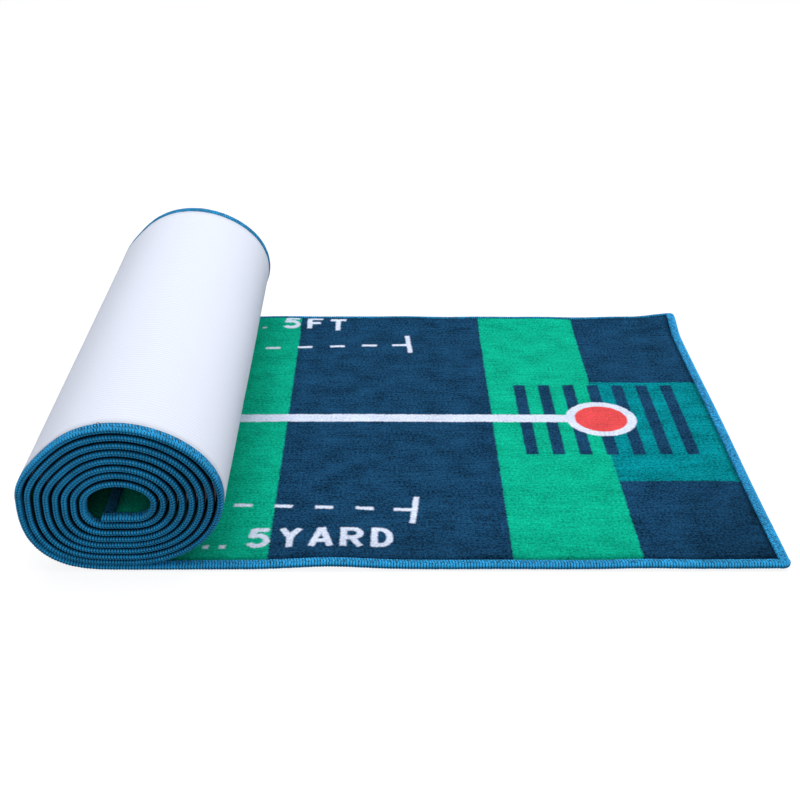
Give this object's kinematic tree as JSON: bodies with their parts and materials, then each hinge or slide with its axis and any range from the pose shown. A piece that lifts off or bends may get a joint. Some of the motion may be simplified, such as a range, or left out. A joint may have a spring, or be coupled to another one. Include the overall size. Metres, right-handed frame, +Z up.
{
  "type": "practice putting mat",
  "caption": "Partly rolled practice putting mat: printed pile strip on a ribbed backing with a serged edging, wound into an oval roll that runs out into a flat length with a free end.",
  "frame": {"origin": "middle of the bounding box in plan, on the floor under the mat", "axes": "+X along the mat towards its free end, +Y across the mat, +Z up from the floor"},
  "size_m": [0.6269, 0.5, 0.133],
  "materials": {
    "pile": "short matt pile, printed in green, navy and teal fields with white and red marks",
    "backing": "finely ribbed off-white cloth",
    "edging": "serged blue yarn"
  },
  "bodies": {
    "flat": {"flat_backing": "backing", "flat_pile": "pile", "flat_edging_near": "edging", "flat_edging_far": "edging"},
    "lift_1": {"lift_1_backing": "backing", "lift_1_pile": "pile", "lift_1_edging_near": "edging", "lift_1_edging_far": "edging"},
    "lift_2": {"lift_2_backing": "backing", "lift_2_pile": "pile", "lift_2_edging_near": "edging", "lift_2_edging_far": "edging"},
    "lift_3": {"lift_3_backing": "backing", "lift_3_pile": "pile", "lift_3_edging_near": "edging", "lift_3_edging_far": "edging"},
    "free_end": {"free_end_backing": "backing", "free_end_pile": "pile", "free_end_edging": "edging"},
    "open_1": {"open_1_backing": "backing", "open_1_pile": "pile", "open_1_edging_near": "edging", "open_1_edging_far": "edging"},
    "open_2": {"open_2_backing": "backing", "open_2_pile": "pile", "open_2_edging_near": "edging", "open_2_edging_far": "edging"},
    "roll": {"roll_backing": "backing", "roll_pile": "pile", "roll_edging_near": "edging", "roll_edging_far": "edging", "inner_backing": "backing", "inner_pile": "pile", "inner_edging_near": "edging", "inner_edging_far": "edging", "core_1_backing": "backing", "core_1_pile": "pile", "core_1_edging_near": "edging", "core_1_edging_far": "edging", "core_2_backing": "backing", "core_2_pile": "pile", "core_2_edging_near": "edging", "core_2_edging_far": "edging", "core_3_backing": "backing", "core_3_pile": "pile", "core_3_edging_near": "edging", "core_3_edging_far": "edging", "core_end_edging": "edging"}
  },
  "joints": [
    {"name": "open_roll", "type": "hinge", "parent": "flat", "child": "open_1", "pos_m": [-0.28824, 0, 0.00916], "axis": [0, -1, 0], "range_deg": [0, 66.39]},
    {"name": "open_bend_2", "type": "hinge", "parent": "open_1", "child": "open_2", "pos_m": [-0.31338, 0, 0.0641], "axis": [0, -1, 0], "range_deg": [0, 55.28]},
    {"name": "open_bend_3", "type": "hinge", "parent": "open_2", "child": "roll", "pos_m": [-0.26637, 0, 0.12476], "axis": [0, -1, 0], "range_deg": [0, 45.74]},
    {"name": "lift_end", "type": "hinge", "parent": "flat", "child": "lift_1", "pos_m": [0.13, 0, 0.0057], "axis": [0, -1, 0], "range_deg": [0, 28]},
    {"name": "lift_bend_2", "type": "hinge", "parent": "lift_1", "child": "lift_2", "pos_m": [0.175, 0, 0.0057], "axis": [0, -1, 0], "range_deg": [0, 28]},
    {"name": "lift_bend_3", "type": "hinge", "parent": "lift_2", "child": "lift_3", "pos_m": [0.22, 0, 0.0057], "axis": [0, -1, 0], "range_deg": [0, 28]},
    {"name": "lift_bend_4", "type": "hinge", "parent": "lift_3", "child": "free_end", "pos_m": [0.265, 0, 0.0057], "axis": [0, -1, 0], "range_deg": [0, 28]}
  ],
  "couplings": [
    {"joint": "open_bend_2", "follows": "open_roll", "ratio": 0.83251},
    {"joint": "open_bend_3", "follows": "open_roll", "ratio": 0.68896},
    {"joint": "lift_bend_2", "follows": "lift_end", "ratio": 1},
    {"joint": "lift_bend_3", "follows": "lift_end", "ratio": 1},
    {"joint": "lift_bend_4", "follows": "lift_end", "ratio": 1}
  ]
}
